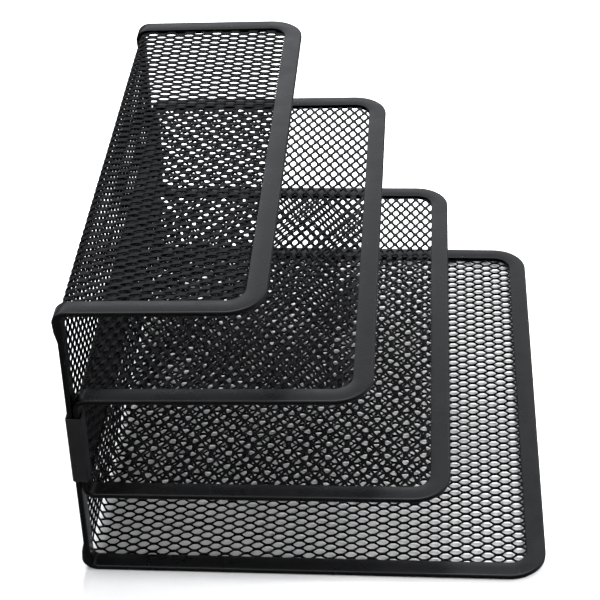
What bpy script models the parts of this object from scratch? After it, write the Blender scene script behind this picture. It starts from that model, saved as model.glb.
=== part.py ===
"""Desktop step file sorter: two nested trays of folded mesh, each bound in a channel rim, and two clips.

The sorter lies on its longest panel. Each tray is a sheet folded twice into a C that opens towards +X: an
upper panel, a back and a lower panel. The inner tray stands inside the outer one, back against back, and
the four panels make three slots. Y runs from the front to the rear. Lengths are in metres.
"""
import math

import bmesh
import bpy

COLLECTION = "desktop_file_sorter"

# Driving dimensions
DEPTH = 0.305
RIM_WIDTH = 0.0102
RIM_THICKNESS = 0.003
FOLD_RADIUS = 0.005
CORNER_RADIUS = 0.020
GAP = 0.0003

# Each tray: the back's outer face, each panel's free edge from the sorter's back, the height of each
# panel's upper face at the back, each panel's rise for every metre of its length, how far the lower
# panel's rear edge hangs below its front edge, and how far the rim swells outwards beside the folds.
OUTER = {
    "back": 0.0,
    "upper_reach": 0.1002,
    "upper_top": 0.166,
    "upper_slope": 0.025,
    "lower_reach": 0.2407,
    "lower_top": RIM_THICKNESS,
    "lower_slope": 0.0,
    "rear_drop": 0.0,
    "swelling": 0.002,
}
INNER = {
    "back": RIM_THICKNESS + GAP,
    "upper_reach": 0.1506,
    "upper_top": 0.1131,
    "upper_slope": 0.0227,
    "lower_reach": 0.1897,
    "lower_top": 0.0526,
    "lower_slope": 0.0083,
    "rear_drop": 0.004,
    "swelling": 0.0,
}

# The rim is a flat channel: two walls with a groove between them for the edge of the sheet.
RIM_WALL = 0.0009
RIM_ROUNDING = 0.0011
LIP_CHAMFER = 0.0003
GROOVE_FLOOR = 0.0012
SWELLING_LENGTH = 0.020
SHEET_THICKNESS = 0.0006
SHEET_INSET = GROOVE_FLOOR + 0.0006

CLIP_WALL = 0.0006
CLIP_HEIGHT = 0.0405
CLIP_CENTRE = 0.0819
CLIP_LEG = 0.009
CLIP_BEND = 0.0009

ARC_STEPS = 8
SWELLING_STEPS = 8

STEEL_COLOUR = (0.012, 0.012, 0.013, 1.0)


def clear_scene():
    """Remove every object, so that the script can run again in an open file."""
    for old_object in list(bpy.data.objects):
        bpy.data.objects.remove(old_object)


def powder_coat(name, roughness):
    """Black powder-coated steel."""
    material = bpy.data.materials.new(name)
    material.use_nodes = True
    shader = material.node_tree.nodes["Principled BSDF"]
    shader.inputs["Base Color"].default_value = STEEL_COLOUR
    shader.inputs["Roughness"].default_value = roughness
    shader.inputs["Metallic"].default_value = 0.0
    return material


def add_object(name, mesh, material, smooth_angle):
    """Put a mesh in the sorter's collection as a smooth-shaded object with its own material."""
    mesh.name = name
    mesh.shade_smooth()
    mesh.set_sharp_from_angle(angle=smooth_angle)
    mesh.materials.append(material)
    new_object = bpy.data.objects.new(name, mesh)
    bpy.data.collections[COLLECTION].objects.link(new_object)
    return new_object


def centre_line(tray):
    """The tray's centre line in the XZ plane: its start, its heading and its runs as (length, turn).

    It goes from the upper panel's free edge to the back, down the back, and out along the lower panel.
    """
    middle = RIM_THICKNESS / 2
    back = tray["back"] + middle
    upper_tilt = math.atan(tray["upper_slope"])
    lower_tilt = math.atan(tray["lower_slope"])
    upper_turn = math.pi / 2 - upper_tilt
    lower_turn = math.pi / 2 + lower_tilt
    upper_cut = FOLD_RADIUS * math.tan(upper_turn / 2)
    lower_cut = FOLD_RADIUS * math.tan(lower_turn / 2)
    upper_length = (tray["upper_reach"] - back) / math.cos(upper_tilt)
    lower_length = (tray["lower_reach"] - back) / math.cos(lower_tilt)
    back_length = tray["upper_top"] - tray["lower_top"]
    start_x = tray["upper_reach"]
    start_z = tray["upper_top"] - middle + upper_length * math.sin(upper_tilt)
    runs = [
        (upper_length - upper_cut, 0.0),
        (FOLD_RADIUS * upper_turn, upper_turn),
        (back_length - upper_cut - lower_cut, 0.0),
        (FOLD_RADIUS * lower_turn, lower_turn),
        (lower_length - lower_cut, 0.0),
    ]
    return start_x, start_z, math.pi + upper_tilt, runs


def walk(line, distance):
    """The point and the heading at a distance along a line of runs."""
    x, z, heading, runs = line
    for length, turn in runs:
        step = min(distance, length)
        if turn:
            radius = length / turn
            next_heading = heading + turn * step / length
            x += radius * (math.sin(next_heading) - math.sin(heading))
            z -= radius * (math.cos(next_heading) - math.cos(heading))
            heading = next_heading
        else:
            x += step * math.cos(heading)
            z += step * math.sin(heading)
        distance -= step
        if distance <= 0:
            break
    return x, z, heading


def run_ends(tray):
    """Distances along the centre line at which each of its runs ends."""
    ends = []
    total = 0.0
    for length, _ in centre_line(tray)[3]:
        total += length
        ends.append(total)
    return ends


def swelling(tray, along):
    """How far the rim's outer wall stands out at a distance along the centre line."""
    upper_end, upper_fold_end, back_end, lower_fold_end, _ = run_ends(tray)
    for fold_side, distance in ((upper_end, along - upper_end), (lower_fold_end, lower_fold_end - along)):
        if 0 < distance < SWELLING_LENGTH:
            return tray["swelling"] * math.sin(math.pi * distance / SWELLING_LENGTH) ** 2
    return 0.0


def hang(tray, along, across):
    """How far a point drops because the lower panel's rear edge hangs low."""
    _, back_start, back_end, _, _ = run_ends(tray)
    share = (along - back_start) / (back_end - back_start)
    return tray["rear_drop"] * min(max(share, 0.0), 1.0) * across / DEPTH


def folded(tray, along, across, outwards):
    """Where a point of the flat sheet goes when the tray is folded.

    along is measured on the centre line, across from the front edge, and outwards off the sheet.
    """
    x, z, heading = walk(centre_line(tray), along)
    x += outwards * math.sin(heading)
    z -= outwards * math.cos(heading)
    return x, across, z - hang(tray, along, across)


def fold_marks(tray):
    """Distances along the centre line at which the rim and the sheet need a cross-section."""
    upper_end, upper_fold_end, back_end, lower_fold_end, _ = run_ends(tray)
    marks = set()
    for start, end in ((upper_end, upper_fold_end), (back_end, lower_fold_end)):
        marks.update(start + (end - start) * step / ARC_STEPS for step in range(ARC_STEPS + 1))
    if tray["swelling"]:
        spacing = SWELLING_LENGTH / SWELLING_STEPS
        for step in range(SWELLING_STEPS + 1):
            for mark in (upper_end + spacing * step, lower_fold_end - spacing * step):
                if min(abs(mark - other) for other in marks) > spacing / 6:
                    marks.add(mark)
    return sorted(marks)


def edge_path(tray):
    """The flat sheet's edge with round corners, as (along, across, inwards along, inwards across)."""
    total = run_ends(tray)[-1]
    marks = fold_marks(tray)
    low = CORNER_RADIUS
    corners = [
        (low, low, math.pi),
        (total - low, low, 1.5 * math.pi),
        (total - low, DEPTH - low, 0.0),
        (low, DEPTH - low, 0.5 * math.pi),
    ]
    between = [
        [(mark, 0.0, 0.0, 1.0) for mark in marks],
        [],
        [(mark, DEPTH, 0.0, -1.0) for mark in reversed(marks)],
        [],
    ]
    path = []
    for (centre_along, centre_across, first_angle), stations in zip(corners, between):
        for step in range(ARC_STEPS + 1):
            angle = first_angle + 0.5 * math.pi * step / ARC_STEPS
            cosine, sine = math.cos(angle), math.sin(angle)
            path.append((centre_along + low * cosine, centre_across + low * sine, -cosine, -sine))
        path.extend(stations)
    return path


def rim_section():
    """The channel's outline as (distance in from the edge, distance outwards off the sheet)."""
    half = RIM_THICKNESS / 2
    groove = half - RIM_WALL
    wall = [
        (RIM_WIDTH, groove),
        (RIM_WIDTH, half - LIP_CHAMFER),
        (RIM_WIDTH - LIP_CHAMFER, half),
    ]
    for step in range(4):
        angle = 0.5 * math.pi * step / 3
        inwards = RIM_ROUNDING * (1 - math.sin(angle))
        wall.append((inwards, half - RIM_ROUNDING * (1 - math.cos(angle))))
    mirrored = [(inwards, -outwards) for inwards, outwards in reversed(wall)]
    return wall + mirrored + [(GROOVE_FLOOR, -groove), (GROOVE_FLOOR, groove)]


def build_rim(name, tray, material):
    """Loft the channel round the tray's edge; its outer wall changes where it swells."""
    groove = RIM_THICKNESS / 2 - RIM_WALL
    section = rim_section()
    mesh_builder = bmesh.new()
    rings = []
    for along, across, inwards_along, inwards_across in edge_path(tray):
        ring = []
        for inwards, outwards in section:
            if outwards > groove:
                outwards += swelling(tray, along) * (outwards - groove) / RIM_WALL
            point = folded(tray, along + inwards * inwards_along, across + inwards * inwards_across, outwards)
            ring.append(mesh_builder.verts.new(point))
        rings.append(ring)
    for ring, next_ring in zip(rings, rings[1:] + rings[:1]):
        for index in range(len(section)):
            corners = (ring[index - 1], ring[index], next_ring[index], next_ring[index - 1])
            mesh_builder.faces.new(corners)
    bmesh.ops.recalc_face_normals(mesh_builder, faces=mesh_builder.faces)
    mesh = bpy.data.meshes.new(name)
    mesh_builder.to_mesh(mesh)
    mesh_builder.free()
    return add_object(name, mesh, material, math.radians(50))


def build_sheet(name, tray, material):
    """Fold a flat grid with round corners into the tray's sheet and give it a thickness."""
    total = run_ends(tray)[-1]
    radius = CORNER_RADIUS - SHEET_INSET
    corner = [radius * (1 - math.cos(0.5 * math.pi * step / ARC_STEPS)) for step in range(ARC_STEPS + 1)]
    marks = [SHEET_INSET + mark for mark in corner] + fold_marks(tray)
    marks += [total - SHEET_INSET - mark for mark in reversed(corner)]
    mesh_builder = bmesh.new()
    bmesh.ops.create_grid(mesh_builder, x_segments=len(marks) - 1, y_segments=1, size=1.0)
    for vert in mesh_builder.verts:
        along = marks[round((vert.co.x + 1) / 2 * (len(marks) - 1))]
        from_end = min(along, total - along) - SHEET_INSET
        cut = 0.0
        if from_end < radius:
            cut = radius - math.sqrt(radius ** 2 - (radius - from_end) ** 2)
        across = SHEET_INSET + cut
        if vert.co.y > 0:
            across = DEPTH - across
        vert.co = folded(tray, along, across, 0.0)
    mesh = bpy.data.meshes.new(name)
    mesh_builder.to_mesh(mesh)
    mesh_builder.free()
    sheet = add_object(name, mesh, material, math.radians(40))
    thicken(sheet, SHEET_THICKNESS)
    return sheet


def thicken(open_surface, thickness):
    """Turn an open surface into a shell with the surface in its middle."""
    shell = open_surface.modifiers.new("thickness", "SOLIDIFY")
    shell.thickness = thickness
    shell.offset = 0.0
    shell.use_even_offset = True


def build_clip(name, front_side, material):
    """Bend a strip into a U round both rims: a leg, the outer wall and the other leg."""
    middle = CLIP_WALL / 2
    left = OUTER["back"] - GAP - middle
    right = INNER["back"] + RIM_THICKNESS + GAP + middle
    outer_wall = -(GAP + middle)
    arc = CLIP_BEND * math.pi / 2
    leg = CLIP_LEG - outer_wall - CLIP_BEND
    runs = [(leg, 0.0), (arc, math.pi / 2), (right - left - 2 * CLIP_BEND, 0.0), (arc, math.pi / 2), (leg, 0.0)]
    line = (left, CLIP_LEG, -math.pi / 2, runs)
    marks = [0.0]
    for length, turn in runs:
        steps = 4 if turn else 1
        start = marks[-1]
        marks.extend(start + length * (step + 1) / steps for step in range(steps))
    mesh_builder = bmesh.new()
    bmesh.ops.create_grid(mesh_builder, x_segments=len(marks) - 1, y_segments=1, size=1.0)
    for vert in mesh_builder.verts:
        x, y, _ = walk(line, marks[round((vert.co.x + 1) / 2 * (len(marks) - 1))])
        if not front_side:
            y = DEPTH - y
        vert.co = (x, y, CLIP_CENTRE + vert.co.y * CLIP_HEIGHT / 2)
    mesh = bpy.data.meshes.new(name)
    mesh_builder.to_mesh(mesh)
    mesh_builder.free()
    clip = add_object(name, mesh, material, math.radians(60))
    thicken(clip, CLIP_WALL)
    return clip


def centre_over_origin(parts):
    """Slide the parts so that the middle of their footprint is over the world's origin."""
    front_left = -OUTER["swelling"]
    for part in parts:
        part.location.x = -(front_left + OUTER["lower_reach"]) / 2
        part.location.y = -DEPTH / 2


def main():
    clear_scene()
    bpy.context.scene.collection.children.link(bpy.data.collections.new(COLLECTION))
    parts = []
    for tray_name, tray in (("outer", OUTER), ("inner", INNER)):
        mesh_material = powder_coat(tray_name + "_mesh", 0.45)
        rim_material = powder_coat(tray_name + "_rim", 0.35)
        parts.append(build_sheet(tray_name + "_mesh", tray, mesh_material))
        parts.append(build_rim(tray_name + "_rim", tray, rim_material))
    for clip_name in ("front_clip", "rear_clip"):
        clip_material = powder_coat(clip_name, 0.35)
        parts.append(build_clip(clip_name, clip_name == "front_clip", clip_material))
    centre_over_origin(parts)


main()
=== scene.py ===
"""Looks of the desktop step file sorter: expanded-metal sheets, channel rims, clips, camera and studio.

The trays are folded along the same centre lines as the CAD's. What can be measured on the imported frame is
measured there; the rest are the driving dimensions below. Lengths are in metres, angles in radians.
"""
import math

import bmesh
import bpy
from mathutils import Matrix, Vector, noise


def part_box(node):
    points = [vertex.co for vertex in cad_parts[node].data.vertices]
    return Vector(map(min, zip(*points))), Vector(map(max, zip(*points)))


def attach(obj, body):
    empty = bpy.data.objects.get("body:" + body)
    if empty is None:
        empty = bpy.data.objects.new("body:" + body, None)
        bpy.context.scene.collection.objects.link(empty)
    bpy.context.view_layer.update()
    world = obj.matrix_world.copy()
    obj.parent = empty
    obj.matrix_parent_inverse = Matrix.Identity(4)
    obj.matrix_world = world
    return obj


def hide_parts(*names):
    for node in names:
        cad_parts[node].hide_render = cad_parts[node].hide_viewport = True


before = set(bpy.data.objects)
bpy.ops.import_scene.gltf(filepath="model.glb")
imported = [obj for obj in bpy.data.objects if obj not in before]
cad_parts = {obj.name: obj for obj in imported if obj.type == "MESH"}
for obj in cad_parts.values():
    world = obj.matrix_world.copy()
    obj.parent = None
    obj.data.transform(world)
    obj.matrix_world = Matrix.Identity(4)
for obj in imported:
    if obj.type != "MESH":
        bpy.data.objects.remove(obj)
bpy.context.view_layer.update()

# Channel rims
RIM_WIDTH = 0.0102
RIM_THICKNESS = 0.003
RIM_WALL = 0.0009
RIM_ROUNDING = 0.0012
LIP_ROUNDING = 0.0003
GROOVE_FLOOR = 0.0012
FOLD_RADIUS = 0.005
CORNER_RADIUS = 0.020
SWELLING_LENGTH = 0.020
CAD_SHEET_THICKNESS = 0.0006

# What the frame's boxes don't tell about a tray
TRAY_SHAPES = {
    "outer": {"upper_slope": 0.025, "lower_slope": 0.0, "rear_drop": 0.0, "swelling": 0.002},
    "inner": {"upper_slope": 0.0227, "lower_slope": 0.0083, "rear_drop": 0.004, "swelling": 0.0},
}

# Each sheet's expanded metal: whether its holes' long way runs along the folding direction, their pitch
# along their long and short ways, and half a hole's length and width. Roundness is 0 for a diamond hole
# and 1 for a lens. Relief is how far a hole's two long sides stand off the sheet, one up and one down;
# below 0 the strands slant the other way. Then come the first hole's centre (along, across), and how far
# the rows drift across for every metre along.
MESHES = {
    "outer": {
        "long_way_along": True,
        "long_pitch": 0.01105,
        "short_pitch": 0.00588,
        "half_hole": (0.0037, 0.00222),
        "roundness": 1.0,
        "relief": 0.0004,
        "first": (0.0022, 0.008),
        "drift": 0.068,
    },
    "inner": {
        "long_way_along": False,
        "long_pitch": 0.0104,
        "short_pitch": 0.00615,
        "half_hole": (0.004, 0.00232),
        "roundness": 0.15,
        "relief": -0.00038,
        "first": (0.004, 0.0061),
        "drift": 0.06,
    },
}
HOLE_SHOULDERS = (0.29, 0.68)
SHEET_SMOOTH_ANGLE = math.radians(50)
STEEL_THICKNESS = 0.0008
RELIEF_IN_GROOVE = 0.1
TUCK_ROOM = 0.0082
FLATTENED_EDGE = 0.003

# Small unevenness: how far a surface strays, and how many strays there are to a metre
STRETCH_WANDER = 0.00025
STRETCH_WANDER_RATE = 22
SHEET_WAVE = 0.0003
SHEET_WAVE_RATE = 14
RIM_WAVE = 0.00012
RIM_WAVE_RATE = 35
# Blender seeds the vector noise of the stretch by the clock, unless it is given a seed
STRETCH_WANDER_SEED = 1
# Each unevenness reads the noise at a height of its own, so that they don't match
STRETCH_WANDER_LEVEL = 3.0
RIM_WAVE_LEVEL = 5.0
SHEET_WAVE_LEVEL = 8.0


class Tray:
    """A sheet folded into a C: where a point of the flat sheet goes, and the sizes of the flat sheet."""

    def __init__(self, name, upper_slope, lower_slope, rear_drop, swelling):
        rim_low, rim_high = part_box(name + "_rim")
        middle = RIM_THICKNESS / 2
        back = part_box(name + "_mesh")[0].x + CAD_SHEET_THICKNESS / 2
        half_height = (rim_low.z + rim_high.z) / 2
        rim_points = [vert.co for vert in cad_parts[name + "_rim"].data.vertices]
        upper_reach = max(point.x for point in rim_points if point.z > half_height)
        lower_top = rim_low.z + rear_drop + RIM_THICKNESS
        upper_tilt = math.atan(upper_slope)
        lower_tilt = math.atan(lower_slope)
        upper_turn = math.pi / 2 - upper_tilt
        lower_turn = math.pi / 2 + lower_tilt
        upper_cut = FOLD_RADIUS * math.tan(upper_turn / 2)
        lower_cut = FOLD_RADIUS * math.tan(lower_turn / 2)
        upper_length = (upper_reach - back) / math.cos(upper_tilt)
        lower_length = (rim_high.x - back) / math.cos(lower_tilt)
        upper_top = rim_high.z - upper_slope * (upper_reach - back)
        self.name = name
        self.front = rim_low.y
        self.depth = rim_high.y - rim_low.y
        self.rear_drop = rear_drop
        self.swell = swelling
        self.start = (upper_reach, rim_high.z - middle, math.pi + upper_tilt)
        self.runs = [
            (upper_length - upper_cut, 0.0),
            (FOLD_RADIUS * upper_turn, upper_turn),
            (upper_top - lower_top - upper_cut - lower_cut, 0.0),
            (FOLD_RADIUS * lower_turn, lower_turn),
            (lower_length - lower_cut, 0.0),
        ]
        self.ends = [sum(length for length, _ in self.runs[:count]) for count in range(1, 6)]
        self.length = self.ends[-1]

    def swelling(self, along):
        """How far the rim's outer wall stands out beside the folds."""
        for distance in (along - self.ends[0], self.ends[3] - along):
            if 0 < distance < SWELLING_LENGTH:
                return self.swell * math.sin(math.pi * distance / SWELLING_LENGTH) ** 2
        return 0.0

    def folded(self, along, across, outwards):
        """The place of a point of the flat sheet: along the fold direction, across from the front edge."""
        x, z, heading = walk(self.start, self.runs, along)
        x += outwards * math.sin(heading)
        z -= outwards * math.cos(heading)
        share = (along - self.ends[1]) / (self.ends[2] - self.ends[1])
        z -= self.rear_drop * clamp(share, 0.0, 1.0) * across / self.depth
        return Vector((x, self.front + across, z))


def clamp(value, low, high):
    return min(max(value, low), high)


def walk(start, runs, distance):
    """The point and the heading at a distance along a line of straight and curved runs."""
    x, z, heading = start
    for length, turn in runs:
        step = min(distance, length)
        if turn:
            radius = length / turn
            next_heading = heading + turn * step / length
            x += radius * (math.sin(next_heading) - math.sin(heading))
            z -= radius * (math.cos(next_heading) - math.cos(heading))
            heading = next_heading
        else:
            x += step * math.cos(heading)
            z += step * math.sin(heading)
        distance -= step
        if distance <= 0:
            break
    else:
        x += distance * math.cos(heading)
        z += distance * math.sin(heading)
    return x, z, heading


def strays(along, across, rate, level):
    """Where to read the noise for an unevenness at a point of the flat sheet."""
    return Vector((along * rate, across * rate, level))


def finished_mesh(mesh_builder, name):
    mesh = bpy.data.meshes.new(name)
    mesh_builder.to_mesh(mesh)
    mesh_builder.free()
    return mesh


def skin(mesh_builder, rings):
    """Join each ring of vertices to the next one with a band of faces."""
    for ring, next_ring in zip(rings, rings[1:]):
        for index in range(len(ring)):
            mesh_builder.faces.new((ring[index - 1], ring[index], next_ring[index], next_ring[index - 1]))


def add_piece(name, mesh_builder, material, smooth_angle):
    """Put a built mesh in the scene as a smooth-shaded piece that rides on the sorter's one body."""
    bmesh.ops.recalc_face_normals(mesh_builder, faces=mesh_builder.faces)
    mesh = finished_mesh(mesh_builder, name)
    mesh.shade_smooth()
    mesh.set_sharp_from_angle(angle=smooth_angle)
    mesh.materials.append(material)
    piece = bpy.data.objects.new(name, mesh)
    bpy.context.scene.collection.objects.link(piece)
    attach(piece, "root")
    return piece


# Expanded metal

def hole_corners(half_length, half_width, roundness):
    """A hole's corners, anticlockwise from its right tip, as (long way, short way)."""
    right = [(half_length, 0.0)]
    for share in reversed(HOLE_SHOULDERS):
        right.append((half_length * share, half_width * (1 - share) * (1 + roundness * share)))
    upper = right + [(-u, v) for u, v in reversed(right)]
    return upper + [(-u, -v) for u, v in upper[1:-1]]


def tuck_under_rim(tray, along, across):
    """Squeeze what lies beyond the rim's lips into the groove; the last value is how deep it lies."""
    core_along = clamp(along, CORNER_RADIUS, tray.length - CORNER_RADIUS)
    core_across = clamp(across, CORNER_RADIUS, tray.depth - CORNER_RADIUS)
    reach = math.hypot(along - core_along, across - core_across)
    lip_radius = CORNER_RADIUS - RIM_WIDTH
    beyond = reach - lip_radius
    if beyond <= 0:
        return along, across, beyond
    depth = TUCK_ROOM * math.tanh(beyond / TUCK_ROOM)
    scale = (lip_radius + depth) / reach
    return core_along + (along - core_along) * scale, core_across + (across - core_across) * scale, depth


class Lattice:
    """The holes of a tray's sheet. Hole (column, row) exists where column + row is even."""

    def __init__(
        self, tray, long_way_along, long_pitch, short_pitch, half_hole, roundness, relief, first, drift
    ):
        self.tray = tray
        self.long_way_along = long_way_along
        self.half_pitch = (long_pitch / 2, short_pitch / 2)
        self.first = first
        self.drift = drift
        self.slant = relief / half_hole[1]
        self.corners = hole_corners(*half_hole, roundness)

    def flat(self, column, row, u=0.0, v=0.0):
        """A point of the flat sheet, (u, v) off the centre of a hole."""
        u += column * self.half_pitch[0]
        v += row * self.half_pitch[1]
        along, across = (u, v) if self.long_way_along else (v, u)
        return self.first[0] + along, self.first[1] + across + self.drift * (along - self.tray.length / 2)

    def shows(self, column, row):
        """Whether any of the hole's four bonds is inside the rim's lips."""
        bonds = ((column + 1, row), (column - 1, row), (column, row + 1), (column, row - 1))
        return any(tuck_under_rim(self.tray, *self.flat(*bond))[2] <= 0 for bond in bonds)

    def holes(self):
        """The holes that show."""
        spans = (self.tray.length, self.tray.depth)
        if not self.long_way_along:
            spans = (self.tray.depth, self.tray.length)
        margin = abs(self.drift) * self.tray.length
        firsts, lasts = [], []
        for span, step in zip(spans, self.half_pitch):
            firsts.append(-round(margin / step) - 2)
            lasts.append(round((span + margin) / step) + 2)
        return [
            (column, row)
            for column in range(firsts[0], lasts[0])
            for row in range(firsts[1], lasts[1])
            if (column + row) % 2 == 0 and self.shows(column, row)
        ]

    def faces(self):
        """The strands and bonds round the holes, each as a ring of (column, row, corner)."""
        strands_right, strands_left, bonds = {}, {}, {}
        for column, row in self.holes():
            for key in ((column, row), (column - 1, row - 1)):
                strands_right[key] = True
            for key in ((column, row), (column + 1, row - 1)):
                strands_left[key] = True
            for key in ((column, row), (column, row - 2), (column + 1, row - 1), (column - 1, row - 1)):
                bonds[key] = True
        rings = []
        for column, row in strands_right:
            here, there = (column, row), (column + 1, row + 1)
            rings.append([(*here, 0), (*there, 7), (*there, 6), (*here, 1)])
            rings.append([(*here, 1), (*there, 6), (*there, 5), (*here, 2)])
        for column, row in strands_left:
            here, there = (column, row), (column - 1, row + 1)
            rings.append([(*here, 5), (*here, 4), (*there, 9), (*there, 8)])
            rings.append([(*here, 4), (*here, 3), (*there, 0), (*there, 9)])
        for column, row in bonds:
            left, right, above = (column - 1, row + 1), (column + 1, row + 1), (column, row + 2)
            here = (column, row)
            rings.append([(*here, 2), (*right, 5), (*above, 8), (*above, 7), (*left, 0), (*here, 3)])
        return rings

    def place(self, column, row, corner, side):
        """Where a hole's corner is on the outward (side 1) or the inward (side -1) face of the steel."""
        u, v = self.corners[corner]
        lean = side * STEEL_THICKNESS * self.slant
        along, across = self.flat(column, row, u, v - lean)
        wander = noise.noise_vector(strays(along, across, STRETCH_WANDER_RATE, STRETCH_WANDER_LEVEL))
        along, across, depth = tuck_under_rim(
            self.tray, along + STRETCH_WANDER * wander.x, across + STRETCH_WANDER * wander.y
        )
        inside = clamp(-depth / CORNER_RADIUS, 0.0, 1.0)
        flattening = RELIEF_IN_GROOVE + (1 - RELIEF_IN_GROOVE) * clamp(-depth / FLATTENED_EDGE, 0.0, 1.0)
        relief = -self.slant * flattening * v
        wave = SHEET_WAVE * inside * noise.noise(strays(along, across, SHEET_WAVE_RATE, SHEET_WAVE_LEVEL))
        return self.tray.folded(along, across, relief + wave + side * STEEL_THICKNESS / 2)


def build_sheet(lattice, material):
    """Make the sheet's strands and bonds as one closed body."""
    rings = lattice.faces()
    mesh_builder = bmesh.new()
    sides = {1: {}, -1: {}}
    for key in sorted({key for ring in rings for key in ring}):
        for side, verts in sides.items():
            verts[key] = mesh_builder.verts.new(lattice.place(*key, side))
    edges = set()
    for ring in rings:
        mesh_builder.faces.new([sides[1][key] for key in ring])
        mesh_builder.faces.new([sides[-1][key] for key in reversed(ring)])
        edges.update(zip(ring, ring[1:] + ring[:1]))
    for start, end in sorted(edges):
        if (end, start) not in edges:
            corners = [sides[1][end], sides[1][start], sides[-1][start], sides[-1][end]]
            mesh_builder.faces.new(corners)
    piece = add_piece(lattice.tray.name + "_expanded_sheet", mesh_builder, material, SHEET_SMOOTH_ANGLE)
    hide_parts(lattice.tray.name + "_mesh")


# Rims

CORNER_STEPS = 20
FOLD_STEPS = 16
RUN_SPACING = 0.006
ROUNDING_STEPS = 6
LIP_STEPS = 3
SMOOTH_ANGLE = math.radians(40)


def spaced(start, end, spacing):
    """Even marks from start up to, but not including, end."""
    count = max(1, round((end - start) / spacing))
    return [start + (end - start) * step / count for step in range(count)]


def side_marks(tray):
    """Distances along the tray's centre line at which the rim's front and rear sides have a section."""
    stops = [CORNER_RADIUS] + tray.ends[:4] + [tray.length - CORNER_RADIUS]
    marks = []
    for index, (start, end) in enumerate(zip(stops, stops[1:])):
        folds = index in (1, 3)
        marks.extend(spaced(start, end, (end - start) / FOLD_STEPS if folds else RUN_SPACING))
    return marks[1:]


def edge_path(tray):
    """The flat sheet's edge with round corners, as (along, across, inwards along, inwards across)."""
    low, length, depth = CORNER_RADIUS, tray.length, tray.depth
    marks = side_marks(tray)
    cross_marks = spaced(low, depth - low, RUN_SPACING)[1:]
    stretches = [
        ((low, low, math.pi), [(mark, 0.0, 0.0, 1.0) for mark in marks]),
        ((length - low, low, 1.5 * math.pi), [(length, mark, -1.0, 0.0) for mark in cross_marks]),
        ((length - low, depth - low, 0.0), [(mark, depth, 0.0, -1.0) for mark in reversed(marks)]),
        ((low, depth - low, 0.5 * math.pi), [(0.0, mark, 1.0, 0.0) for mark in reversed(cross_marks)]),
    ]
    path = []
    for (centre_along, centre_across, first_angle), stations in stretches:
        for step in range(CORNER_STEPS + 1):
            angle = first_angle + 0.5 * math.pi * step / CORNER_STEPS
            cosine, sine = math.cos(angle), math.sin(angle)
            path.append((centre_along + low * cosine, centre_across + low * sine, -cosine, -sine))
        path.extend(stations)
    return path


def arc(centre_inwards, centre_outwards, radius, first_angle, last_angle, steps):
    """Points on an arc of the rim's section; angle 0 points inwards, a right angle outwards."""
    angles = [first_angle + (last_angle - first_angle) * step / steps for step in range(steps + 1)]
    return [(centre_inwards + radius * math.cos(a), centre_outwards + radius * math.sin(a)) for a in angles]


def rim_section():
    """The channel's outline as (distance in from the edge, distance outwards off the sheet)."""
    half = RIM_THICKNESS / 2
    groove = half - RIM_WALL
    quarter = math.pi / 2
    wall = [(RIM_WIDTH, groove)]
    wall += arc(RIM_WIDTH - LIP_ROUNDING, half - LIP_ROUNDING, LIP_ROUNDING, 0.0, quarter, LIP_STEPS)
    wall.append((RIM_WIDTH / 2, half))
    wall += arc(RIM_ROUNDING, half - RIM_ROUNDING, RIM_ROUNDING, quarter, 2 * quarter, ROUNDING_STEPS)
    mirrored = [(inwards, -outwards) for inwards, outwards in reversed(wall)]
    return wall + mirrored + [(GROOVE_FLOOR, -groove), (GROOVE_FLOOR, groove)]


def build_rim(tray, material):
    """Loft the channel round the tray's edge, a little uneven, and swollen beside the outer folds."""
    groove = RIM_THICKNESS / 2 - RIM_WALL
    section = rim_section()
    mesh_builder = bmesh.new()
    rings = []
    for along, across, inwards_along, inwards_across in edge_path(tray):
        unevenness = noise.noise(strays(along, across, RIM_WAVE_RATE, RIM_WAVE_LEVEL))
        ring = []
        for inwards, outwards in section:
            if outwards > groove:
                outwards += tray.swelling(along) * (outwards - groove) / RIM_WALL
            if abs(outwards) > groove:
                outwards -= math.copysign(RIM_WAVE * (1 + unevenness) * inwards / RIM_WIDTH, outwards)
            flat_place = (along + inwards * inwards_along, across + inwards * inwards_across)
            ring.append(mesh_builder.verts.new(tray.folded(*flat_place, outwards)))
        rings.append(ring)
    skin(mesh_builder, rings + rings[:1])
    piece = add_piece(tray.name + "_channel_rim", mesh_builder, material, SMOOTH_ANGLE)
    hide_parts(tray.name + "_rim")


# Clips

CLIP_WALL = 0.0006
CLIP_BEND = 0.0009
BEND_STEPS = 8
LEG_STEPS = 4
CLIP_EDGE_STEPS = 6
CLIP_SPACING = 0.003
CLIP_PINCH = 0.00012


def clip_section(low, high):
    """The strip's outline as (height, distance off its middle), with half-round edges."""
    radius = CLIP_WALL / 2
    outline = []
    for centre, first_angle in ((high - radius, 0.0), (low + radius, math.pi)):
        for step in range(CLIP_EDGE_STEPS + 1):
            angle = first_angle + math.pi * step / CLIP_EDGE_STEPS
            outline.append((centre + radius * math.sin(angle), radius * math.cos(angle)))
        side = math.copysign(radius, outline[-1][1])
        heights = spaced(low + radius, high - radius, CLIP_SPACING)[1:]
        outline.extend((height, side) for height in (reversed(heights) if side < 0 else heights))
    return outline


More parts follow.
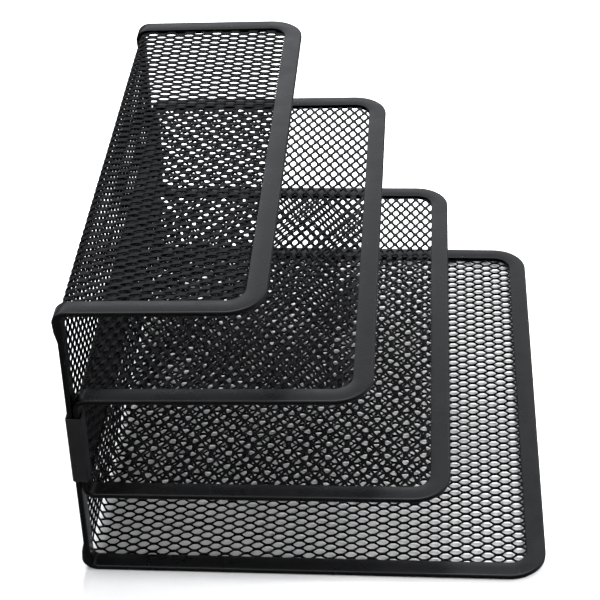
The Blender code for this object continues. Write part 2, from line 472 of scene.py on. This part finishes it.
def build_clip(name, front_side, material):
    """Loft a half-round-edged strip along the U that the CAD clip makes round both rims."""
    low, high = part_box(name)
    middle = CLIP_WALL / 2
    wall_y, leg_end = (low.y + middle, high.y) if front_side else (high.y - middle, low.y)
    inwards = 1 if front_side else -1
    arc_length = CLIP_BEND * math.pi / 2
    leg = abs(leg_end - wall_y) - CLIP_BEND
    width = high.x - low.x - CLIP_WALL - 2 * CLIP_BEND
    runs = [(leg, 0.0), (arc_length, math.pi / 2), (width, 0.0), (arc_length, math.pi / 2), (leg, 0.0)]
    marks = []
    start = 0.0
    for length, turn in runs:
        marks.extend(spaced(start, start + length, length / (BEND_STEPS if turn else LEG_STEPS)))
        start += length
    marks.append(start)
    section = clip_section(low.z, high.z)
    mesh_builder = bmesh.new()
    rings = []
    for mark in marks:
        x, reach, heading = walk((low.x + middle, abs(leg_end - wall_y), -math.pi / 2), runs, mark)
        pinch = CLIP_PINCH * math.sin(math.pi * clamp((mark - leg) / width, 0.0, 1.0))
        ring = []
        for height, off in section:
            y = wall_y + inwards * (reach + pinch - off * math.cos(heading))
            ring.append(mesh_builder.verts.new((x + off * math.sin(heading), y, height)))
        rings.append(ring)
    skin(mesh_builder, rings)
    mesh_builder.faces.new(rings[0])
    mesh_builder.faces.new(reversed(rings[-1]))
    piece = add_piece(name + "_band", mesh_builder, material, SMOOTH_ANGLE)
    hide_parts(name)


# Materials

# Features to a metre, for the noise textures
MARKS_RATE = 70
MOTTLE_RATE = 260
GRAIN_RATE = 900
PAPER_TOOTH_RATE = 1250

# How much a coat's roughness falls and rises where it has been handled
MARKS_SMOOTHER = 0.05
MARKS_ROUGHER = 0.06

# What multiplies a coat's shade where its mottling is darkest and lightest
DARK_MOTTLE = (0.7, 0.7, 0.8)
LIGHT_MOTTLE = (1.4, 1.4, 1.6)

# Shade, roughness, specular level and strength of the grain
COATS = {
    "mesh_powder_coat": (0.0004, 0.26, 0.18, 0.25),
    "rim_powder_coat": (0.0004, 0.28, 0.46, 0.25),
    "clip_powder_coat": (0.0035, 0.4, 0.6, 0.4),
}
BUMP_HEIGHT = 0.0001
PAPER_DARK = 0.44
PAPER_LIGHT = 0.48


def colour(shade, tint=(1.0, 1.0, 1.0)):
    return (*(shade * channel for channel in tint), 1.0)


def powder_coat(name, shade, roughness, specular, grain):
    """Black powder-coated steel: dark, satin, with a fine orange-peel skin and faint handling marks."""
    material = bpy.data.materials.new(name)
    material.use_nodes = True
    nodes, links = material.node_tree.nodes, material.node_tree.links
    shader = nodes["Principled BSDF"]
    shader.inputs["Specular IOR Level"].default_value = specular
    place = nodes.new("ShaderNodeTexCoord")

    def noise_texture(scale, detail):
        texture = nodes.new("ShaderNodeTexNoise")
        texture.inputs["Scale"].default_value = scale
        texture.inputs["Detail"].default_value = detail
        links.new(place.outputs["Object"], texture.inputs["Vector"])
        return texture

    def spread(texture, low, high):
        spreader = nodes.new("ShaderNodeMapRange")
        spreader.inputs["From Min"].default_value = 0.3
        spreader.inputs["From Max"].default_value = 0.7
        spreader.inputs["To Min"].default_value = low
        spreader.inputs["To Max"].default_value = high
        links.new(texture.outputs["Fac"], spreader.inputs["Value"])
        return spreader

    marks = spread(noise_texture(MARKS_RATE, 4), roughness - MARKS_SMOOTHER, roughness + MARKS_ROUGHER)
    links.new(marks.outputs["Result"], shader.inputs["Roughness"])
    tint = nodes.new("ShaderNodeMix")
    tint.data_type = "RGBA"
    tint.inputs["A"].default_value = colour(shade, DARK_MOTTLE)
    tint.inputs["B"].default_value = colour(shade, LIGHT_MOTTLE)
    links.new(spread(noise_texture(MOTTLE_RATE, 3), 0.0, 1.0).outputs["Result"], tint.inputs["Factor"])
    links.new(tint.outputs["Result"], shader.inputs["Base Color"])
    bump = nodes.new("ShaderNodeBump")
    bump.inputs["Strength"].default_value = grain
    bump.inputs["Distance"].default_value = BUMP_HEIGHT
    links.new(noise_texture(GRAIN_RATE, 2).outputs["Fac"], bump.inputs["Height"])
    links.new(bump.outputs["Normal"], shader.inputs["Normal"])
    return material


def paper(name):
    """Seamless white background paper with a faint tooth."""
    material = bpy.data.materials.new(name)
    material.use_nodes = True
    nodes, links = material.node_tree.nodes, material.node_tree.links
    shader = nodes["Principled BSDF"]
    shader.inputs["Roughness"].default_value = 0.9
    place = nodes.new("ShaderNodeTexCoord")
    tooth = nodes.new("ShaderNodeTexNoise")
    tooth.inputs["Scale"].default_value = PAPER_TOOTH_RATE
    shade = nodes.new("ShaderNodeValToRGB")
    shade.color_ramp.elements[0].color = colour(PAPER_DARK)
    shade.color_ramp.elements[1].color = colour(PAPER_LIGHT)
    bump = nodes.new("ShaderNodeBump")
    bump.inputs["Strength"].default_value = 0.1
    bump.inputs["Distance"].default_value = BUMP_HEIGHT
    links.new(place.outputs["Object"], tooth.inputs["Vector"])
    links.new(tooth.outputs["Fac"], shade.inputs["Fac"])
    links.new(tooth.outputs["Fac"], bump.inputs["Height"])
    links.new(shade.outputs["Color"], shader.inputs["Base Color"])
    links.new(bump.outputs["Normal"], shader.inputs["Normal"])
    return material


# Studio

CAMERA_PLACE = (0.0519, -0.8222, 0.6491)
CAMERA_PITCH = math.radians(35.17)
CAMERA_YAW = math.radians(-4.621)
CAMERA_ROLL = math.radians(-1.843)
CAMERA_LENS = 106.29
FLOOR_RADIUS = 3.0
COVE_RADIUS = 1.0
COVE_HEIGHT = 3.0
COVE_STEPS = 10
FLOOR_SECTORS = 64
MERGE_DISTANCE = 0.0001

# Strength, azimuth and elevation of each softbox. Azimuth 0 is behind the sorter, and it grows towards
# the right.
KEYS = {"rear_key": (28, 5, 27), "right_key": (4.0, 85, 38)}
KEY_ANGLE = math.radians(30)

# The sky's brightness at some elevations in degrees, and what multiplies it in front of the sorter
SKY_SHADES = {
    -2: 0.3,
    2: 0.02,
    14: 0.1,
    24: 2.0,
    30: 1.05,
    36: 0.55,
    44: 0.45,
    52: 0.9,
    62: 1.8,
    75: 3.2,
    90: 3.4,
}
SKY_TINT = (0.96, 0.98, 1.04)
FRONT_SKY = 0.25


def build_camera():
    """The camera as fitted to the photograph's edges."""
    camera = bpy.data.objects.new("camera", bpy.data.cameras.new("camera"))
    camera.data.lens = CAMERA_LENS
    camera.data.clip_start = 0.01
    turn = Matrix.Rotation(-CAMERA_YAW, 4, "Z")
    turn @= Matrix.Rotation(math.pi / 2 - CAMERA_PITCH, 4, "X")
    turn @= Matrix.Rotation(CAMERA_ROLL, 4, "Z")
    camera.matrix_world = Matrix.Translation(CAMERA_PLACE) @ turn
    bpy.context.scene.collection.objects.link(camera)
    bpy.context.scene.camera = camera


def build_floor():
    """A round floor whose edge curves up into a low wall, like a studio cove."""
    mesh_builder = bmesh.new()
    profile = [mesh_builder.verts.new((0.0, 0.0, 0.0)), mesh_builder.verts.new((FLOOR_RADIUS, 0.0, 0.0))]
    for step in range(1, COVE_STEPS + 1):
        angle = 0.5 * math.pi * step / COVE_STEPS
        reach = FLOOR_RADIUS + COVE_RADIUS * math.sin(angle)
        profile.append(mesh_builder.verts.new((reach, 0.0, COVE_RADIUS * (1 - math.cos(angle)))))
    profile.append(mesh_builder.verts.new((FLOOR_RADIUS + COVE_RADIUS, 0.0, COVE_HEIGHT)))
    edges = [mesh_builder.edges.new(pair) for pair in zip(profile, profile[1:])]
    bmesh.ops.spin(
        mesh_builder,
        geom=profile + edges,
        cent=(0, 0, 0),
        axis=(0, 0, 1),
        angle=2 * math.pi,
        steps=FLOOR_SECTORS,
    )
    bmesh.ops.remove_doubles(mesh_builder, verts=mesh_builder.verts, dist=MERGE_DISTANCE)
    mesh = finished_mesh(mesh_builder, "floor")
    mesh.shade_smooth()
    mesh.materials.append(paper("floor_paper"))
    floor = bpy.data.objects.new("floor", mesh)
    floor.visible_glossy = False
    floor.visible_shadow = False
    bpy.context.scene.collection.objects.link(floor)


def build_key(name, strength, azimuth, elevation):
    """A broad, far softbox. Glossy surfaces don't reflect it: the sky alone makes their highlights."""
    key = bpy.data.lights.new(name, "SUN")
    key.energy = strength
    key.angle = KEY_ANGLE
    key_object = bpy.data.objects.new(name, key)
    key_object.visible_glossy = False
    key_object.rotation_euler = (math.radians(elevation - 90), 0.0, -math.radians(azimuth))
    bpy.context.scene.collection.objects.link(key_object)


def build_sky():
    """A plain studio: a bright band low down behind the sorter, a bright ceiling, and a dim front."""
    world = bpy.data.worlds.new("studio")
    world.use_nodes = True
    bpy.context.scene.world = world
    nodes, links = world.node_tree.nodes, world.node_tree.links
    direction = nodes.new("ShaderNodeTexCoord")
    split = nodes.new("ShaderNodeSeparateXYZ")
    height = nodes.new("ShaderNodeMapRange")
    height.inputs["From Min"].default_value = -1.0
    ramp = nodes.new("ShaderNodeValToRGB")
    from_front = nodes.new("ShaderNodeMapRange")
    from_front.inputs["From Min"].default_value = -0.5
    from_front.inputs["From Max"].default_value = 0.2
    from_front.inputs["To Min"].default_value = FRONT_SKY
    links.new(direction.outputs["Generated"], split.inputs["Vector"])
    links.new(split.outputs["Z"], height.inputs["Value"])
    links.new(height.outputs["Result"], ramp.inputs["Fac"])
    links.new(split.outputs["Y"], from_front.inputs["Value"])
    links.new(ramp.outputs["Color"], nodes["Background"].inputs["Color"])
    links.new(from_front.outputs["Result"], nodes["Background"].inputs["Strength"])
    stops = ramp.color_ramp.elements
    places = [(1 + math.sin(math.radians(elevation))) / 2 for elevation in SKY_SHADES]
    stops[0].position, stops[1].position = places[0], places[-1]
    for place in places[1:-1]:
        stops.new(place)
    for stop, shade in zip(stops, SKY_SHADES.values()):
        stop.color = colour(shade, SKY_TINT)


def main():
    noise.seed_set(STRETCH_WANDER_SEED)
    mesh_coat, rim_coat, clip_coat = [powder_coat(name, *coat) for name, coat in COATS.items()]
    trays = {name: Tray(name, **shape) for name, shape in TRAY_SHAPES.items()}
    for name, tray in trays.items():
        build_sheet(Lattice(tray, **MESHES[name]), mesh_coat)
        build_rim(tray, rim_coat)
    build_clip("front_clip", True, clip_coat)
    build_clip("rear_clip", False, clip_coat)
    build_camera()
    build_floor()
    for name, (strength, azimuth, elevation) in KEYS.items():
        build_key(name, strength, azimuth, elevation)
    build_sky()
    bpy.context.scene.view_settings.view_transform = "Standard"


main()
